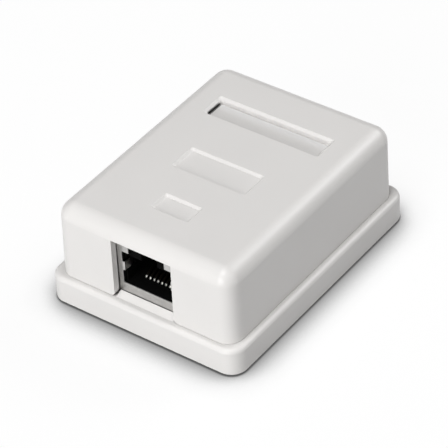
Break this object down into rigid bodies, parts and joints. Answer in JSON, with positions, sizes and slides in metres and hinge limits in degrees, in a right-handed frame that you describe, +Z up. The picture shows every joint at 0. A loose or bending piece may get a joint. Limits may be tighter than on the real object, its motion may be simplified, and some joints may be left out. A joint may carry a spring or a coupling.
{
  "type": "surface mount jack box",
  "caption": "Wall-mount box with a lift-off rounded cover on a stepped base, one shielded eight-way socket at its front end, and a label window on top.",
  "frame": {"origin": "centre of the base's underside", "axes": "+X right seen from the socket's end, +Y to the rear, +Z up; the socket faces -Y"},
  "size_m": [0.0486, 0.064, 0.0248],
  "materials": {
    "abs_base": "fine moulded texture",
    "abs_cover": "fine moulded texture",
    "clear_window": "polished clear plastic",
    "label_card": "uncoated card",
    "circuit_board": "green solder mask",
    "zinc_screw": "zinc plated",
    "tinned_shield": "tin plated sheet",
    "black_jack": "moulded",
    "gold_contact": "gold plated",
    "terminal_block": "moulded",
    "tinned_blade": "tin plated bronze",
    "tinned_clip": "tin plated sheet"
  },
  "bodies": {
    "housing": {"base": "abs_base", "pcb": "circuit_board", "pcb_screws": "zinc_screw", "jack_shield": "tinned_shield", "jack_housing": "black_jack", "contact_carrier": "black_jack", "contact_wire_1": "gold_contact", "contact_wire_2": "gold_contact", "contact_wire_3": "gold_contact", "contact_wire_4": "gold_contact", "contact_wire_5": "gold_contact", "contact_wire_6": "gold_contact", "contact_wire_7": "gold_contact", "contact_wire_8": "gold_contact", "idc_block_left": "terminal_block", "idc_block_right": "terminal_block", "idc_blade_1": "tinned_blade", "idc_blade_2": "tinned_blade", "idc_blade_3": "tinned_blade", "idc_blade_4": "tinned_blade", "idc_blade_5": "tinned_blade", "idc_blade_6": "tinned_blade", "idc_blade_7": "tinned_blade", "idc_blade_8": "tinned_blade", "ground_clip": "tinned_clip"},
    "cover_body": {"cover": "abs_cover", "label_card": "label_card"},
    "window_body": {"label_window": "clear_window"}
  },
  "joints": [
    {"name": "cover_lift", "type": "slide", "parent": "housing", "child": "cover_body", "axis": [0, 0, 1], "range_m": [0, 0.03]},
    {"name": "window_lift", "type": "slide", "parent": "cover_body", "child": "window_body", "axis": [0, 0, 1], "range_m": [0, 0.008]}
  ]
}
